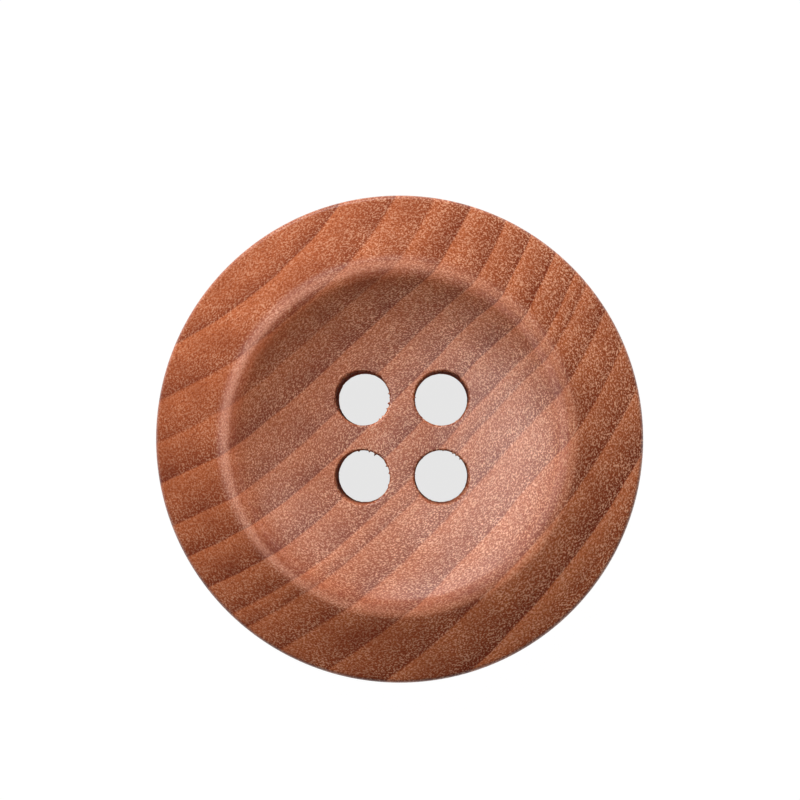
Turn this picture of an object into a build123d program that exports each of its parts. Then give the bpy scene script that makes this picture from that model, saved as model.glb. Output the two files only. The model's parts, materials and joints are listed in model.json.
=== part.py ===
from build123d import *
from math import cos, radians, sin, tan
import os

# A round four-hole sew-on button, turned from one piece of wood.
# The front has a raised lip around a shallow dish, and a wide rim that slopes down from the lip
# to the edge. The back is flat, with a bevel all round that thins the edge.
# Frame: the origin is at the middle of the flat back, and +Z points out of the front. Millimetres.

# Driving dimensions
BUTTON_DIAMETER = 25.4  # 40 ligne, a coat button
THICKNESS = 4.4  # flat back to the top of the lip
LIP_DIAMETER = 17.7  # the circle that the top of the lip follows
LIP_ROUNDING = 1.6  # radius of the lip's rounded top
DISH_EDGE_SLOPE = 24.0  # degrees that the dish rises where it meets the lip
RIM_SLOPE = 18.0  # degrees that the rim falls from the lip to the edge
EDGE_ROUNDING = 0.3  # where the rim meets the outer wall
BACK_BEVEL_WIDTH = 2.6
BACK_BEVEL_HEIGHT = 1.2
BACK_ROUNDING = 0.6  # both ends of the back bevel
HOLE_DIAMETER = 2.8  # sewing holes
HOLE_SPACING = 4.1  # centre to centre, along X and along Y
DRILLING_OFFSET = (0.13, 0.06)  # how far the hole pattern sits from the disc's own centre
HOLE_EDGE_SOFTENING = 0.1  # the sanded edge of each hole, front and back
DRILL_RUN_OUT = 1.0  # how far the drill starts above and ends below the wood

# Derived places
outer_radius = BUTTON_DIAMETER / 2
lip_centre = (LIP_DIAMETER / 2, THICKNESS - LIP_ROUNDING)
back_flat_radius = outer_radius - BACK_BEVEL_WIDTH


def lip_point(fall):
    """Point on the lip's rounded top where it falls outwards at that many degrees."""
    angle = radians(fall)
    return (lip_centre[0] + LIP_ROUNDING * sin(angle), lip_centre[1] + LIP_ROUNDING * cos(angle))


# The dish is nearly flat in the middle and steepens towards the lip, because its height grows
# with the cube of the radius. It joins the lip's rounding smoothly, which sets its depth.
lip_inner = lip_point(-DISH_EDGE_SLOPE)
dish_bottom = lip_inner[1] - lip_inner[0] * tan(radians(DISH_EDGE_SLOPE)) / 3


def section():
    """Half section of the disc, right of the axis, before the sewing holes."""
    lip_top = lip_point(0)
    lip_outer = lip_point(RIM_SLOPE)
    rim_drop = (outer_radius - lip_outer[0]) * tan(radians(RIM_SLOPE))
    rim_edge = (outer_radius, lip_outer[1] - rim_drop)
    bevel_edge = (outer_radius, BACK_BEVEL_HEIGHT)
    back_edge = (back_flat_radius, 0)

    with BuildSketch(Plane.XZ) as half:
        with BuildLine():
            Polyline((0, dish_bottom), (0, 0), back_edge, bevel_edge, rim_edge, lip_outer)
            RadiusArc(lip_outer, lip_top, -LIP_ROUNDING)
            RadiusArc(lip_top, lip_inner, -LIP_ROUNDING)
            level = [(lip_inner[0] * share, dish_bottom) for share in (2 / 3, 1 / 3, 0)]
            Bezier(lip_inner, *level)
        make_face()
        for corner, rounding in (
            (rim_edge, EDGE_ROUNDING),
            (bevel_edge, BACK_ROUNDING),
            (back_edge, BACK_ROUNDING),
        ):
            fillet(half.vertices().sort_by_distance(corner)[0], rounding)
    return half.sketch


def sewing_hole_places():
    """Centres of the four holes: a square whose middle is the drilling offset."""
    with GridLocations(HOLE_SPACING, HOLE_SPACING, 2, 2) as grid:
        return [Pos(*DRILLING_OFFSET) * place for place in grid.locations]


def button_disc():
    """The turned disc with its four sewing holes and their softened edges."""
    turned = revolve(section(), Axis.Z)
    drill = Pos(0, 0, THICKNESS / 2) * Cylinder(HOLE_DIAMETER / 2, THICKNESS + 2 * DRILL_RUN_OUT)
    drilled = turned - [place * drill for place in sewing_hole_places()]
    hole_mouths = new_edges(turned, combined=drilled).filter_by(lambda edge: edge.is_closed)
    return fillet(hole_mouths, HOLE_EDGE_SOFTENING)


os.makedirs("parts", exist_ok=True)
disc = button_disc()
export_step(disc, "parts/button_disc.step")
depth = THICKNESS - dish_bottom
print(f"button_disc: dish {depth:.2f} mm deep, volume {disc.volume:.1f} mm3")
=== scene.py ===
# %% [markdown]
# # A turned wooden sew-on button
# This lesson dresses one small part: a round button, turned on a lathe from a single piece of
# reddish wood and drilled with four sewing holes. The design already holds its exact size, so
# the first step loads that packed design as a fixed frame. Everything made here is laid over
# it, in metres, with nothing moved or resized.

# %% Load the frame
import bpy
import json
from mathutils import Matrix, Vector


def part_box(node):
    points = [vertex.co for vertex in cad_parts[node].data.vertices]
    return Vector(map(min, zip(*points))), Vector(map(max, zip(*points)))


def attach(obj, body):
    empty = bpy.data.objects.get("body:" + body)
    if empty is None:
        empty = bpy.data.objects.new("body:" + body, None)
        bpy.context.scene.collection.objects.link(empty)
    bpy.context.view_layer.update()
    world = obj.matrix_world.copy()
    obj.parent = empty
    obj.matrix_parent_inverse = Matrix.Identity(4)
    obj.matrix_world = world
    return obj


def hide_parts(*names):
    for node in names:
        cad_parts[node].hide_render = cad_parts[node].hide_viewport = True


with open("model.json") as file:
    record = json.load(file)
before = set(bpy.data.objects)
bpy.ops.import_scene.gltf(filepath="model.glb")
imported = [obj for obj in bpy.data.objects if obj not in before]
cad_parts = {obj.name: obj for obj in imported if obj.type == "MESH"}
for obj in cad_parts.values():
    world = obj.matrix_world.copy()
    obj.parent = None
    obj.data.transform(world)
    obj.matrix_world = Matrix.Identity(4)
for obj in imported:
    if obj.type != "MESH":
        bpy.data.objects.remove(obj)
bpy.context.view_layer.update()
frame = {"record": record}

import json
from math import cos, pi, radians, sin, tan

import bmesh
import bpy
from mathutils import Matrix, Vector, noise

# %% [markdown]
# ## Sizes
# A button is measured in millimetres, so the modelling is done in millimetres and scaled to
# metres once, at the end. The overall sizes and the places of the holes come from the frame.
# The section has a few sizes of its own: where the lip stands, how round it is, and how steeply
# the dish and the rim meet it. The dish is nearly flat in the middle and steepens towards the
# lip, because its height grows with the cube of the radius. Its depth follows from that.

# %% Sizes of the disc and its section, in millimetres
MM = 0.001
low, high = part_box("button_disc")
OUTER_RADIUS = (high.x - low.x) / 2 / MM
THICKNESS = high.z / MM
bores = [mount for mount in frame["record"]["mounts"] if mount["kind"] == "bore"]
HOLE_RADIUS = bores[0]["dims"]["r_mm"]
hole_centres = [Vector((*mount["pos_m"][:2], 0)) / MM for mount in bores]

LIP_RADIUS = 8.85
LIP_ROUNDING = 1.6
DISH_EDGE_SLOPE = radians(24)
RIM_SLOPE = radians(18)
EDGE_ROUNDING = 0.3
BACK_BEVEL_WIDTH = 2.6
BACK_BEVEL_HEIGHT = 1.2
BACK_ROUNDING = 0.6
HOLE_SOFTENING = 0.1

lip_height = THICKNESS - LIP_ROUNDING
dish_edge = LIP_RADIUS - LIP_ROUNDING * sin(DISH_EDGE_SLOPE)
dish_rise = dish_edge * tan(DISH_EDGE_SLOPE) / 3
dish_bottom = lip_height + LIP_ROUNDING * cos(DISH_EDGE_SLOPE) - dish_rise
rim_start = LIP_RADIUS + LIP_ROUNDING * sin(RIM_SLOPE)
pattern_centre = sum(hole_centres, Vector()) / len(hole_centres)
hole_spacing = 2 * max(centre.x - pattern_centre.x for centre in hole_centres)
print(f"disc {2 * OUTER_RADIUS:.2f} x {THICKNESS:.2f}, dish {THICKNESS - dish_bottom:.2f} deep")
print(f"holes {2 * HOLE_RADIUS:.2f} wide, {hole_spacing:.2f} apart, round {pattern_centre[:2]}")


def dish_height(radius):
    """Height of the dish above the flat back, at a distance from the turning axis."""
    return dish_bottom + dish_rise * (radius / dish_edge) ** 3


# %% [markdown]
# ## The turned section
# On the lathe, the whole shape comes from one section swept round an axis. The section is drawn
# the same way here. Extruded vertices follow the dish, the rim, the wall and the back, a vertex
# spun about the middle of the lip draws its arc, and a vertex bevel rounds the corners. Typed-in
# points could give the same outline, but this one stays true when a size changes.

# %% Draw the section
COLLAR_RADIUS = 6.4  # inside this, the surface is laid out round the holes and isn't spun
CURVE_STEPS = 20
CORNER_STEPS = 8
LONGEST_RUN = 0.3
section = bmesh.new()


def draw_arc(start, centre, angle, steps):
    """Spins a vertex about an axis along Y and returns the last vertex of its arc."""
    arc = bmesh.ops.spin(section, geom=[start], cent=centre, axis=(0, 1, 0), dvec=(0, 0, 0),
                         angle=angle, steps=steps, use_merge=False, use_duplicate=False)
    return next(part for part in arc["geom_last"] if isinstance(part, bmesh.types.BMVert))


def draw_line(start, radius, height, steps):
    """Extrudes a vertex in even steps to a radius and height, and returns the last one."""
    origin = start.co.copy()
    goal = Vector((radius, 0, height))
    for step in range(1, steps + 1):
        start = bmesh.ops.extrude_vert_indiv(section, verts=[start])["verts"][0]
        start.co = origin.lerp(goal, step / steps)
    return start


def round_corner(where, radius):
    """Replaces the section's corner at that place with an arc of that radius."""
    corner = min(section.verts, key=lambda vert: (vert.co - where).length)
    before, after = ((edge.other_vert(corner).co - corner.co) for edge in corner.link_edges)
    reach = radius / tan(before.angle(after) / 2)
    bmesh.ops.bevel(section, geom=[corner], offset=reach, offset_type="OFFSET",
                    segments=CORNER_STEPS, profile=0.5, affect="VERTICES", material=-1)


collar = (COLLAR_RADIUS, 0, dish_height(COLLAR_RADIUS))
dish_end = bmesh.ops.create_vert(section, co=collar)["vert"][0]
for step in range(1, CURVE_STEPS + 1):
    radius = COLLAR_RADIUS + (dish_edge - COLLAR_RADIUS) * step / CURVE_STEPS
    dish_end = draw_line(dish_end, radius, dish_height(radius), 1)
lip_end = draw_arc(dish_end, (LIP_RADIUS, 0, lip_height), DISH_EDGE_SLOPE + RIM_SLOPE,
                   CURVE_STEPS)
rim_drop = (OUTER_RADIUS - rim_start) * tan(RIM_SLOPE)
front_corner = draw_line(lip_end, OUTER_RADIUS, lip_end.co.z - rim_drop, 10)
back_corner = draw_line(front_corner, OUTER_RADIUS, BACK_BEVEL_HEIGHT, 3)
seat_corner = draw_line(back_corner, OUTER_RADIUS - BACK_BEVEL_WIDTH, 0, 3)
draw_line(seat_corner, COLLAR_RADIUS, 0, 5)
corners = [vert.co.copy() for vert in (front_corner, back_corner, seat_corner)]
for corner_place, rounding in zip(corners, (EDGE_ROUNDING, BACK_ROUNDING, BACK_ROUNDING)):
    round_corner(corner_place, rounding)
long_runs = [edge for edge in section.edges if edge.calc_length() > LONGEST_RUN]
bmesh.ops.subdivide_edges(section, edges=long_runs, cuts=2)
print(f"section: {len(section.verts)} points, rim edge {corners[0].z:.2f} high")

# %% [markdown]
# ## Spin the section
# A full spin sweeps the section once round the axis. With use_merge on, the last copy is
# welded to the first, so no seam is left. The number of turns is a multiple of eight, which
# lets the next step match one eighth of the circle to one side of a square.

# %% Spin the section
TURNS = 256
bmesh.ops.spin(section, geom=section.verts[:] + section.edges[:], cent=(0, 0, 0),
               axis=(0, 0, 1), dvec=(0, 0, 0), angle=2 * pi, steps=TURNS,
               use_merge=True, use_duplicate=False)
spun = bpy.data.meshes.new("spun_rim")
section.to_mesh(spun)
print("spun:", len(section.verts), "points and", len(section.faces), "faces")

# %% [markdown]
# ## The drilled middle
# Four holes can't be cut into spun faces without leaving slivers. A boolean would do that. The
# middle is laid out flat instead, as four squares that each hold one hole. Bridging a square to
# its hole and the block of four to the collar circle gives even, four-sided faces everywhere.
# One flat layout serves the back, and a copy of it, lifted up, serves the front.

# %% Lay out the middle round its holes
SIDE = TURNS // 8
LOWERED = Vector((0, 0, 1))  # rings are bridged from below, because level loops can twist
SLACK = 0.01  # how far off a circle or a line a point may be and still be found
block = bmesh.new()
bmesh.ops.create_grid(block, x_segments=2, y_segments=2, size=hole_spacing,
                      matrix=Matrix.Translation(pattern_centre))
bmesh.ops.delete(block, geom=block.faces[:], context="FACES_ONLY")
bmesh.ops.subdivide_edges(block, edges=block.edges[:], cuts=SIDE - 1)
square_lines = block.edges[:]


def add_circle(centre, radius, segments):
    """Adds an open circle to the layout and returns its edges."""
    ring = bmesh.ops.create_circle(block, cap_ends=False, segments=segments, radius=radius,
                                   matrix=Matrix.Translation(centre))
    return list({edge for vert in ring["verts"] for edge in vert.link_edges})


def lines_round(centre):
    """The sides of the square that holds the hole at this centre."""
    reach = hole_spacing / 2 + SLACK
    middles = {line: (line.verts[0].co + line.verts[1].co) / 2 - centre for line in square_lines}
    return [line for line, middle in middles.items() if max(map(abs, middle[:2])) < reach]


for centre in hole_centres:
    hole_ring = add_circle(centre - LOWERED, HOLE_RADIUS, 4 * SIDE)
    bmesh.ops.bridge_loops(block, edges=lines_round(centre) + hole_ring)
outline = [line for line in square_lines if len(line.link_faces) == 1]
collar_ring = add_circle(-LOWERED, COLLAR_RADIUS, TURNS)
bmesh.ops.bridge_loops(block, edges=outline + collar_ring)
bmesh.ops.scale(block, verts=block.verts, vec=(1, 1, 0))
print("layout:", len(block.faces), "faces, block outline of", len(outline), "edges")

# %% [markdown]
# ## Drill through
# The copied layout becomes the front. Each hole's two mouths are bridged into a wall, and a
# bevel softens the mouths, as the sanding drum does on the real part. Then the long faces are
# cut into short ones. Last, the flat front is lifted to the height of the dish: every height
# grows in the same share, so the back, at height nought, stays flat.

# %% Make the walls and lift the front
LONGEST_SPOKE = 0.25
SPOKE_CUTS = 12
front = bmesh.ops.duplicate(block, geom=block.verts[:] + block.edges[:] + block.faces[:])
front_points = [part for part in front["geom"] if isinstance(part, bmesh.types.BMVert)]
bmesh.ops.translate(block, verts=front_points, vec=(0, 0, dish_bottom))
open_edges = [edge for edge in block.edges if edge.is_boundary]


def across(point, centre):
    """Distance from a point to a hole's axis."""
    return (point.xy - centre.xy).length


mouths = []
for centre in hole_centres:
    pair = [edge for edge in open_edges if across(edge.verts[0].co, centre) < HOLE_RADIUS + SLACK]
    bmesh.ops.bridge_loops(block, edges=pair)
    mouths += pair
bmesh.ops.recalc_face_normals(block, faces=block.faces)
bmesh.ops.bevel(block, geom=mouths, offset=HOLE_SOFTENING, offset_type="OFFSET", segments=4,
                profile=0.5, affect="EDGES", material=-1)
spokes = [edge for edge in block.edges if edge.calc_length() > LONGEST_SPOKE]
bmesh.ops.subdivide_edges(block, edges=spokes, cuts=SPOKE_CUTS)
for vert in block.verts:
    vert.co.z *= dish_height(vert.co.xy.length) / dish_bottom
print("drilled middle:", len(block.verts), "points,", len(mouths), "mouth edges")

# %% Join the two and turn the faces outwards
WELD_DISTANCE = 0.004
disc = bmesh.new()
disc.from_mesh(spun)
middle = bpy.data.meshes.new("drilled_middle")
block.to_mesh(middle)
disc.from_mesh(middle)
bmesh.ops.remove_doubles(disc, verts=disc.verts, dist=WELD_DISTANCE)
bmesh.ops.recalc_face_normals(disc, faces=disc.faces)
for part in (spun, middle):
    bpy.data.meshes.remove(part)
for sketch in (section, block):
    sketch.free()
gaps = sum(not edge.is_manifold for edge in disc.edges)
print("closed disc:", len(disc.faces), "faces,", gaps, "gaps, volume", round(disc.calc_volume(), 1))

# %% [markdown]
# ## Hand work on the surface
# Turned and drum-sanded wood is never as exact as its design. The drill tears a few fibres at
# the mouths and leaves its wall a little rough, and sanding takes more from the soft parts of
# the growth rings than from the hard ones. Smooth noise moves the points by a few hundredths
# of a millimetre. It takes wood away, so that the disc stays inside its design box. Only a few
# torn fibres are left standing into a hole, by 0.15 mm at most.

# %% Tear the mouths and wear the surface
TEAR_DEPTH = 0.04
TEAR_WIDTH = 0.22
FIBRE_LENGTH = 0.35
WEAR_DEPTH = 0.02


def fade(value, start, end):
    """Runs smoothly from 0 at start to 1 at end."""
    share = min(1, max(0, (value - start) / (end - start)))
    return share * share * (3 - 2 * share)


disc.normal_update()
worn = 0
for vert in disc.verts:
    point = vert.co
    nearest = min(hole_centres, key=lambda centre: across(point, centre))
    away = point.xy - nearest.xy
    beside_hole = away.length - HOLE_RADIUS
    swell = noise.noise(point * 0.45) + 0.5 * noise.noise(point * 1.1 + Vector((7, 3, 1)))
    wear = WEAR_DEPTH * min(1, max(0, 0.5 + swell))
    inside_box = fade(vert.normal.z, 0.2, 0.6)
    move = -vert.normal * wear * inside_box
    if beside_hole < TEAR_WIDTH:
        mouth = 1 - fade(beside_hole, 0, TEAR_WIDTH)
        near_front = fade(point.z, 2.8, 3.0)
        ragged = noise.noise(point * 3.4) + noise.noise(point * 8 + Vector((0, 9, 4)))
        push = TEAR_DEPTH * mouth * max(0, ragged + 1.5 * noise.noise(point * 15))
        splinter = max(0, noise.noise(point * 9 + Vector((4, 0, 2))) - 0.3)
        push -= FIBRE_LENGTH * splinter * mouth * near_front
        move += Vector((away.x, away.y, 0)).normalized() * push
        worn += 1
    vert.co = point + move
print(worn, "points beside the holes were torn or roughened")

# %% [markdown]
# ## From millimetres to the frame
# The finished mesh is scaled to metres and becomes one piece. It stands for the design's disc,
# and rides on the one body of this object, because nothing on a button moves.

# %% Make the piece
bmesh.ops.scale(disc, verts=disc.verts, vec=(MM, MM, MM))
for face in disc.faces:
    face.smooth = True
turned_mesh = bpy.data.meshes.new("turned_disc")
disc.to_mesh(turned_mesh)
disc.free()
turned_disc = bpy.data.objects.new("turned_disc", turned_mesh)
bpy.context.scene.collection.objects.link(turned_disc)
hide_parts("button_disc")
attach(turned_disc, "root")
print("turned_disc:", len(turned_mesh.polygons), "faces")

# %% [markdown]
# ## Shader sums
# A wood finish is mostly arithmetic on a point's place. Adding Math nodes by hand hides the
# sum, so one small class wraps a socket and lets the sum be written as Python. Colours and
# vectors need other nodes, and one method adds any node with its settings and inputs.

# %% A socket that can be used in sums


class Flow:
    """What comes out of a shader node, written in sums like a number."""

    tree = None

    def __init__(self, socket):
        self.socket = socket

    @classmethod
    def node(cls, kind, settings=None, feeds=None, output=0):
        """Adds a node with its settings and its inputs' values or links, and gives an output."""
        made = cls.tree.nodes.new("ShaderNode" + kind)
        for name, setting in (settings or {}).items():
            if name == "stops":
                cls.fill_ramp(made.color_ramp, setting)
            else:
                setattr(made, name, setting)
        for name, feed in (feeds or {}).items():
            if isinstance(feed, cls):
                cls.tree.links.new(feed.socket, made.inputs[name])
            else:
                made.inputs[name].default_value = feed
        return cls(made.outputs[output]) if made.outputs else None

    @staticmethod
    def fill_ramp(ramp, stops):
        """Gives a ramp its stops, each a position and a grey level."""
        while len(ramp.elements) < len(stops):
            ramp.elements.new(1)
        for element, (position, level) in zip(ramp.elements, stops):
            element.position = position
            element.color = (level, level, level, 1)

    def sum(self, operation, *others):
        """Adds a Math node with this value first."""
        return self.node("Math", {"operation": operation}, dict(enumerate((self, *others))))

    def __add__(self, other):
        return self.sum("ADD", other)

    def __sub__(self, other):
        return self.sum("SUBTRACT", other)

    def __rsub__(self, other):
        return self.node("Math", {"operation": "SUBTRACT"}, {0: other, 1: self})

    def __mul__(self, other):
        return self.sum("MULTIPLY", other)

    def __neg__(self):
        return self * -1

    __radd__ = __add__
    __rmul__ = __mul__

    def fade(self, start, end):
        """Runs smoothly from 0 at start to 1 at end."""
        ends = {"From Min": start, "From Max": end}
        if start > end:
            ends = {"From Min": end, "From Max": start, "To Min": 1, "To Max": 0}
        return self.node("MapRange", {"interpolation_type": "SMOOTHSTEP"}, {"Value": self, **ends})


def paint(factor, under, over, blend="MIX"):
    """Lays one colour over another, as far as the factor says."""
    return Flow.node("Mix", {"data_type": "RGBA", "blend_type": blend},
                     {0: factor, 6: under, 7: over}, output=2)


def place(x, y, z):
    """Joins three values into the place where a pattern is read."""
    return Flow.node("CombineXYZ", feeds={"X": x, "Y": y, "Z": z})


def grain_noise(where, scale, detail=2.0, roughness=0.5):
    """Smooth noise, about 0.5 on average, with blotches of one unit divided by the scale."""
    return Flow.node("TexNoise", feeds={"Vector": where, "Scale": scale, "Detail": detail,
                                        "Roughness": roughness})


# %% [markdown]
# ## Where the growth rings run
# The button was cut from a plank near the middle of the tree, so its growth rings cross it as
# bowed, slightly fanning bands. A flat stripe pattern would look printed on. Rings that lean
# through the thickness bend where the surface rises and dips, as they do on real wood, so the
# ring distance is worked out in three dimensions: mostly the distance across the bands, then a
# bow along them, a fan, and a lean that moves them sideways with height.

# %% Growth-ring distance
RING_DIRECTION = radians(46)
RING_LEVEL = 2.9  # the height at which the lean of the rings is nought

wood = bpy.data.materials.new("turned_wood")
wood.use_nodes = True
wood.node_tree.nodes.clear()
Flow.tree = wood.node_tree

spot = Flow.node("TexCoord", output=3)
spot = Flow.node("VectorMath", {"operation": "SCALE"}, {0: spot, "Scale": 1 / MM})
x, y, z = (Flow.node("SeparateXYZ", feeds={"Vector": spot}, output=axis) for axis in range(3))
along = x * cos(RING_DIRECTION) + y * sin(RING_DIRECTION)
over = y * cos(RING_DIRECTION) - x * sin(RING_DIRECTION)
rise = z - RING_LEVEL
from_axis = Flow.node("VectorMath", {"operation": "LENGTH"}, {0: place(x, y, 0)}, output=1)

BOW = 0.01
FAN = 0.0094
LEAN = 0.34
SWAY = 0.3
bow = along * along * (along * 0.0001 - BOW)
fan = along * over * FAN
lean = rise * (along * 0.028 + over * 0.024 + LEAN)
sway = grain_noise(spot, 0.35) - 0.5
ring_distance = over + bow + fan + lean + sway * SWAY
print("ring pattern:", len(wood.node_tree.nodes), "nodes")

# %% [markdown]
# ## Light and dark bands
# Each year's band starts dark, at a sharp line, and lightens slowly until the next line. Rings
# differ in width and in strength, because years differ, so they are listed one by one: where
# each line falls, how light the wood is just before it and how dark just after. The bands are
# read twice, a little apart, and where the two differ lies the thin dark late wood of a line.

# %% Growth-ring bands
RING_SPAN = 12.0
RING_LINES = (
    (-10.85, 1.0, 0.1), (-8.55, 0.76, 0.16), (-6.5, 0.68, 0.22), (-4.5, 0.68, 0.16),
    (-2.7, 0.72, 0.24), (-1.8, 0.76, 0.2), (-0.15, 0.72, 0.16), (1.65, 0.78, 0.2),
    (3.35, 0.72, 0.22), (5.5, 0.72, 0.18), (7.4, 0.68, 0.34), (9.2, 0.72, 0.26),
    (11.2, 0.76, 0.28),
)
LINE_WIDTH = 0.08
LATE_WOOD_WIDTH = 0.15
stops = [(0.0, 0.4)]
for line, light, dark in RING_LINES:
    for side, level in ((-LINE_WIDTH / 2, light), (LINE_WIDTH / 2, dark)):
        stops.append(((line + side + RING_SPAN) / (2 * RING_SPAN), level))
stops.append((1.0, 0.6))


def ring_bands(distance):
    """How light the wood is at that ring distance."""
    ring_place = (distance + RING_SPAN) * (1 / (2 * RING_SPAN))
    return Flow.node("ValToRGB", {"stops": stops}, {"Fac": ring_place})


ring_level = ring_bands(ring_distance)
late_wood = (ring_bands(ring_distance - LATE_WOOD_WIDTH) - ring_level).fade(0.1, 0.7)
print(len(RING_LINES), "growth lines,", len(stops), "ramp stops")

# %% [markdown]
# ## Fibres and flecks
# Close up, the wood is covered in short pale flecks, about a tenth of a millimetre wide. They
# run round the button, because that is how the tool and the sandpaper went. Noise that is read
# at the point's place, with the distance from the axis stretched many times, gives streaks
# that run round at every radius without a seam. A second noise follows the growth rings.

# %% Flecks round the axis and along the rings
STREAKS_ALONG = 9  # blotches per millimetre along a streak
STREAKS_ACROSS = 16  # and across it
round_axis = place(x * STREAKS_ALONG, y * STREAKS_ALONG, (from_axis + z) * STREAKS_ACROSS)
turned_flecks = grain_noise(round_axis, 1.0, detail=1.5, roughness=0.6)
along_rings = place(along * STREAKS_ALONG, ring_distance * STREAKS_ACROSS, z * 10)
ring_flecks = grain_noise(along_rings, 1.0, detail=1.5, roughness=0.6)
flecks = turned_flecks * 0.6 + ring_flecks * 0.4
pale_fleck = flecks.fade(0.49, 0.59)
dark_fleck = flecks.fade(0.46, 0.38)
patches = grain_noise(spot, 0.55, detail=3.0)

# %% [markdown]
# ## Colour
# The colours are those of a warm, reddish wood under a thin clear finish: red-brown in the
# dark half of a ring, orange-tan in the light half. The dish is paler and pinker, because it
# has more pale flecks. There are also more flecks towards +X than towards -X, as the grain is
# coarser there. The steep inside of the lip is a little more orange. The crest is painted
# lighter: partly worn wood, partly a painted highlight along the crest. The dish's and the
# lip's own tints fade out below the front, so the back is plain.

# %% Paint the wood
DARK_WOOD = (0.205, 0.036, 0.013, 1)
LIGHT_WOOD = (0.57, 0.152, 0.055, 1)
PALE_FIBRE = (0.88, 0.465, 0.29, 1)
DEEP_PORE = (0.19, 0.026, 0.010, 1)
POLISHED_TINT = (1, 0.80, 0.60, 1)
# colour of the lighter crest band: worn wood and a painted highlight along the crest
CREST_WEAR_AND_HIGHLIGHT_COLOUR = (0.76, 0.27, 0.135, 1)
CREST_WEAR_AND_HIGHLIGHT_SHARE = 0.3
LATE_WOOD_SHARE = 0.5
PORE_SHARE = 0.55
POLISH_SHARE = 0.4

level = (ring_level - 0.5) * 1.4 + 0.5 + (patches - 0.5) * 0.6
colour = paint(level, DARK_WOOD, LIGHT_WOOD)
on_front = z.fade(2.5, 2.95)
# painted highlight along the crest, mixed with lighter worn wood on its top
crest_wear_and_highlight = from_axis.fade(8.65, 8.85) * from_axis.fade(9.25, 9.05) * on_front
colour = paint(crest_wear_and_highlight * CREST_WEAR_AND_HIGHLIGHT_SHARE, colour, CREST_WEAR_AND_HIGHLIGHT_COLOUR)
colour = paint(late_wood * LATE_WOOD_SHARE, colour, DEEP_PORE)
colour = paint(dark_fleck * PORE_SHARE, colour, DEEP_PORE)
in_dish = from_axis.fade(8.6, 8.0) * on_front
on_lip = from_axis.fade(9.6, 9.2) * on_front
on_edge = from_axis.fade(12.45, 12.6) * z.fade(2.8, 3.1)
polished = from_axis.fade(7.6, 8.2) * from_axis.fade(9.0, 8.5) * on_front
fleck_share = pale_fleck * (in_dish * 0.2 + patches * 0.8 + 0.1 - polished * 0.1 + x * 0.017)
colour = paint(fleck_share, colour, PALE_FIBRE)
colour = paint(polished * POLISH_SHARE, colour, POLISHED_TINT, blend="MULTIPLY")

# %% [markdown]
# ## Finish
# A bump node turns the flecks and the ring lines into a fine relief, so that light breaks up on
# them. The clear finish lies on the dish and the lip as a satin coat. It is thin on the rim and
# thick again on the rounded outer edge, where hands and cloth rub it bright.

# %% Relief, gloss and output
gloss = in_dish * 0.34 + on_lip * 0.36
relief = turned_flecks * 0.5 + ring_flecks * 0.3 + ring_level * 0.2
bumped = Flow.node("Bump", feeds={"Strength": 0.5, "Distance": 0.00006, "Height": relief})
finish = Flow.node("BsdfPrincipled", feeds={
    "Base Color": colour,
    "Roughness": 0.65 - pale_fleck * 0.1,
    "IOR": 1.45,
    "Specular IOR Level": 0.03,
    "Coat Weight": gloss * (pale_fleck * 0.2 + 0.8) + on_edge + 0.01,
    "Coat Roughness": 0.33,
    "Normal": bumped,
})
Flow.node("OutputMaterial", feeds={"Surface": finish})
turned_mesh.materials.append(wood)
print("wood finish:", len(wood.node_tree.nodes), "nodes")

# %% [markdown]
# ## The floor
# The button lies on a plain pale floor that glows a little, so that it stays an even white and
# throws some light back on the button's edge. Under the button it is in shade, and that shade
# shows light grey through the four holes. The shade is a thin disc of its own, seen only by the
# camera, so that it doesn't light the walls of the holes from below.

# %% Lay the floor
FLOOR_RADIUS = 1.2
SHADE_RADIUS = 0.0098
FLOOR_HEIGHT = -0.00002
CIRCLE_SIDES = 96


def add_floor_part(name, sketch, height, glow):
    """Makes a flat part of the floor from a sketch, at that height and with that glow."""
    part_mesh = bpy.data.meshes.new(name)
    sketch.to_mesh(part_mesh)
    sketch.free()
    part = bpy.data.objects.new(name, part_mesh)
    bpy.context.scene.collection.objects.link(part)
    part.location.z = height
    paper = bpy.data.materials.new(name)
    paper.use_nodes = True
    paper.node_tree.nodes.clear()
    Flow.tree = paper.node_tree
    matt = Flow.node("BsdfPrincipled", feeds={
        "Base Color": (0.02, 0.02, 0.02, 1), "Roughness": 1.0, "Specular IOR Level": 0.0,
        "Emission Color": (1, 1, 1, 1), "Emission Strength": glow})
    Flow.node("OutputMaterial", feeds={"Surface": matt})
    part_mesh.materials.append(paper)
    return part


open_floor = bmesh.new()
bmesh.ops.create_circle(open_floor, segments=CIRCLE_SIDES, radius=SHADE_RADIUS)
grown = bmesh.ops.extrude_edge_only(open_floor, edges=open_floor.edges[:])
outer_verts = [part for part in grown["geom"] if isinstance(part, bmesh.types.BMVert)]
bmesh.ops.scale(open_floor, verts=outer_verts, vec=(FLOOR_RADIUS / SHADE_RADIUS,) * 3)
add_floor_part("pale_floor", open_floor, FLOOR_HEIGHT, 1.0)

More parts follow.
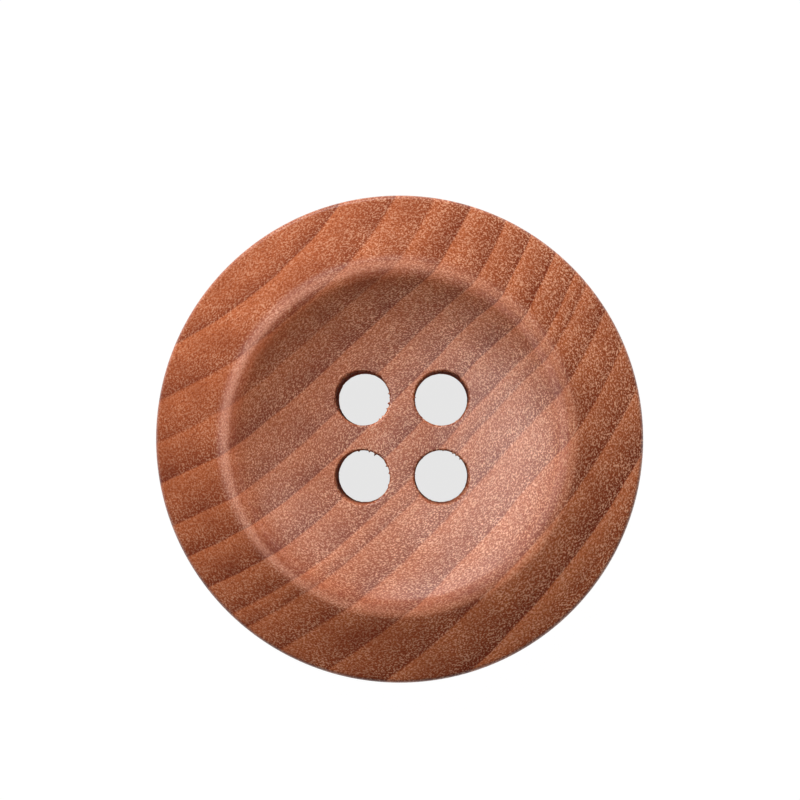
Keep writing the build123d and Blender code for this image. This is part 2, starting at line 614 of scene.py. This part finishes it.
seat = bmesh.new()
bmesh.ops.create_circle(seat, cap_ends=True, segments=CIRCLE_SIDES, radius=SHADE_RADIUS)
shade = add_floor_part("floor_shade", seat, FLOOR_HEIGHT, 0.785)
shade.visible_diffuse = False
shade.visible_glossy = False
print("floor laid, shaded within", SHADE_RADIUS, "m of the axis")

# %% [markdown]
# ## Light and camera
# A large soft panel stands beyond the +Y side of the button and gives the slopes their light
# and shade. Two higher panels, a strong one on the -X side and a weak one on the +X side, lay a
# sheen on the dish. They are kept out of the diffuse light, so they show only in the gloss.
# The world gives an even fill. The camera looks straight down from close above.

# %% Soft studio light
PANEL_DISTANCE = 0.6
WORLD_FILL = 0.1
dish_centre = Vector((0, 0, dish_bottom * MM))


def add_panel(name, azimuth, elevation, size, power):
    """Adds a square soft panel that faces the middle of the button."""
    lamp = bpy.data.lights.new(name, "AREA")
    lamp.shape = "SQUARE"
    lamp.size = size
    lamp.energy = power
    panel = bpy.data.objects.new(name, lamp)
    bpy.context.scene.collection.objects.link(panel)
    level = cos(radians(elevation))
    towards = Vector((level * cos(radians(azimuth)), level * sin(radians(azimuth)),
                      sin(radians(elevation))))
    panel.location = dish_centre + towards * PANEL_DISTANCE
    panel.rotation_euler = towards.to_track_quat("Z", "Y").to_euler()
    return panel


add_panel("key_panel", 109, 36, 0.35, 4.65)
for sheen_panel in (add_panel("left_sheen_panel", 167, 67, 0.4, 3.9),
                    add_panel("right_sheen_panel", 40, 62, 0.2, 0.7)):
    sheen_panel.visible_diffuse = False
world = bpy.data.worlds.new("studio")
bpy.context.scene.world = world
world.use_nodes = True
world.node_tree.nodes["Background"].inputs["Color"].default_value = (1, 1, 1, 1)
world.node_tree.nodes["Background"].inputs["Strength"].default_value = WORLD_FILL
bpy.context.scene.view_settings.view_transform = "Standard"

# %% Camera straight above
CAMERA_HEIGHT = 0.0832
camera_data = bpy.data.cameras.new("camera")
camera_data.lens = 69.2
camera_data.shift_x = -0.0355
camera_data.shift_y = 0.0465
camera_data.clip_start = 0.001
camera = bpy.data.objects.new("camera", camera_data)
camera.location = (0.0015, 0.0001, CAMERA_HEIGHT)
bpy.context.scene.collection.objects.link(camera)
bpy.context.scene.camera = camera
